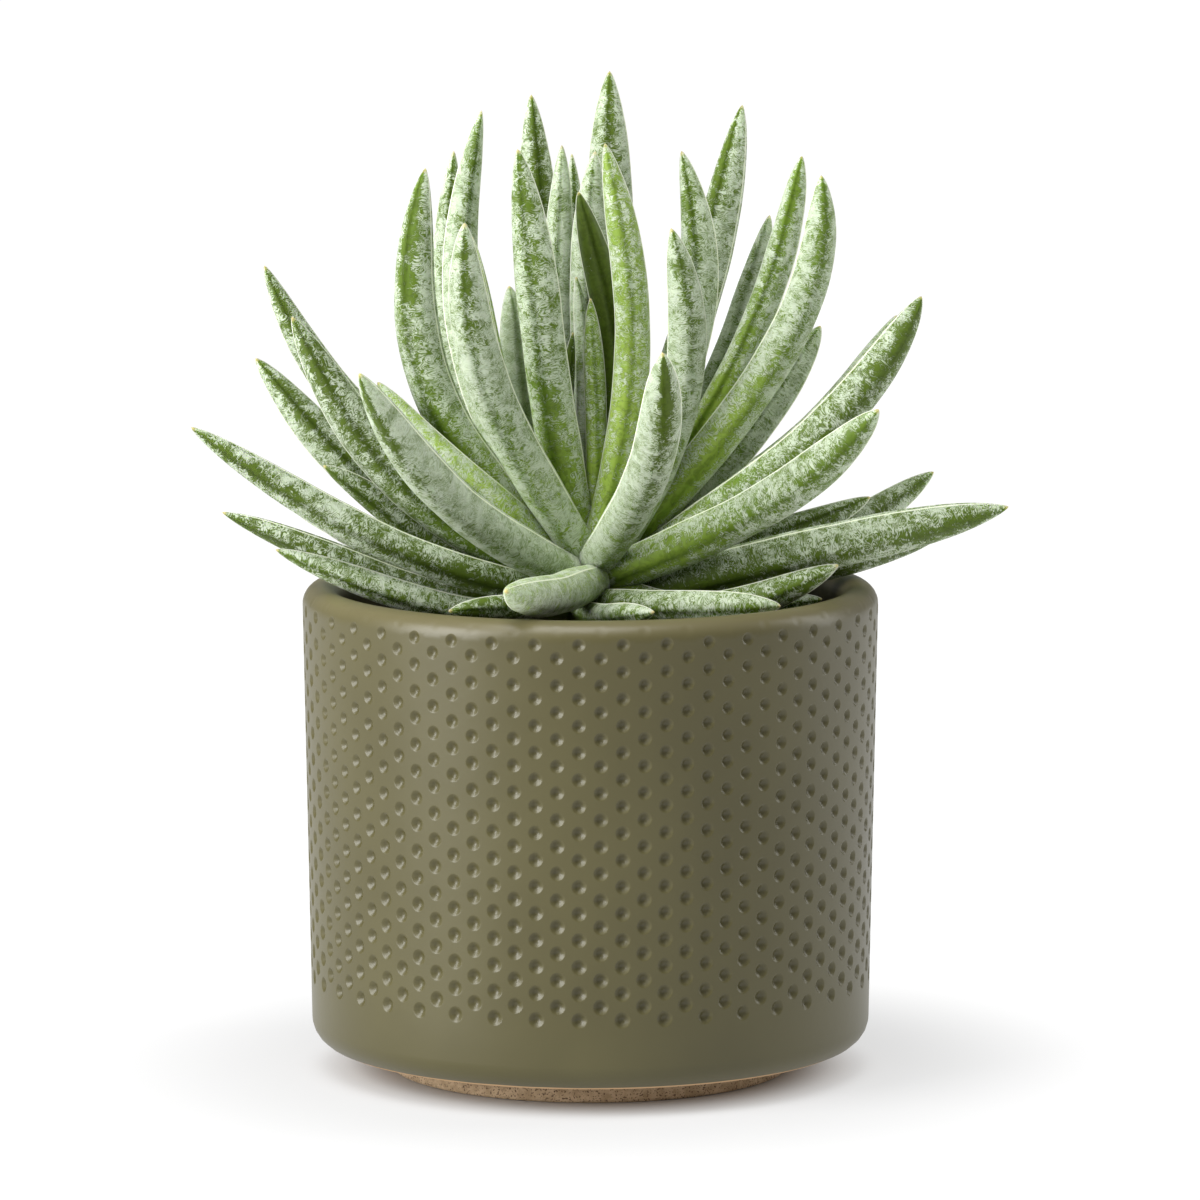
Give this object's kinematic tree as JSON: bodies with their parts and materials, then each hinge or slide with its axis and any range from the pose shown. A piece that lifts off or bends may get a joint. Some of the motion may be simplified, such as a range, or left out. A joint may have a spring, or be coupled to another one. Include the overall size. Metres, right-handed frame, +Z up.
{
  "type": "potted succulent",
  "caption": "Rosette of felted, finger-shaped succulent leaves on a short stem, in a round glazed stoneware pot with a dimpled wall and a bare foot.",
  "frame": {"origin": "on the ground under the middle of the pot's foot", "axes": "+Z up through the middle of the pot; -Y is the front, and +X is on the right as seen from the front"},
  "size_m": [0.1685, 0.141, 0.207],
  "materials": {
    "glaze": "satin",
    "soil": "matte",
    "stem": "matte",
    "leaf": "matte"
  },
  "bodies": {
    "root": {"pot": "glaze", "soil": "soil", "stem": "stem", "leaf_01": "leaf", "leaf_02": "leaf", "leaf_03": "leaf", "leaf_04": "leaf", "leaf_05": "leaf", "leaf_06": "leaf", "leaf_07": "leaf", "leaf_08": "leaf", "leaf_09": "leaf", "leaf_10": "leaf", "leaf_11": "leaf", "leaf_12": "leaf", "leaf_13": "leaf", "leaf_14": "leaf", "leaf_15": "leaf", "leaf_16": "leaf", "leaf_17": "leaf", "leaf_18": "leaf", "leaf_19": "leaf", "leaf_20": "leaf", "leaf_21": "leaf", "leaf_22": "leaf", "leaf_23": "leaf", "leaf_24": "leaf", "leaf_25": "leaf", "leaf_26": "leaf", "leaf_27": "leaf", "leaf_28": "leaf", "leaf_29": "leaf", "leaf_30": "leaf", "leaf_31": "leaf", "leaf_32": "leaf", "leaf_33": "leaf", "leaf_34": "leaf", "leaf_35": "leaf", "leaf_36": "leaf", "leaf_37": "leaf", "leaf_38": "leaf", "leaf_39": "leaf", "leaf_40": "leaf", "leaf_41": "leaf", "leaf_42": "leaf", "leaf_43": "leaf", "leaf_44": "leaf", "leaf_45": "leaf", "leaf_46": "leaf", "leaf_47": "leaf", "leaf_48": "leaf", "leaf_49": "leaf", "leaf_50": "leaf", "leaf_51": "leaf", "leaf_52": "leaf", "leaf_53": "leaf", "leaf_54": "leaf", "leaf_55": "leaf", "leaf_56": "leaf"}
  },
  "joints": []
}
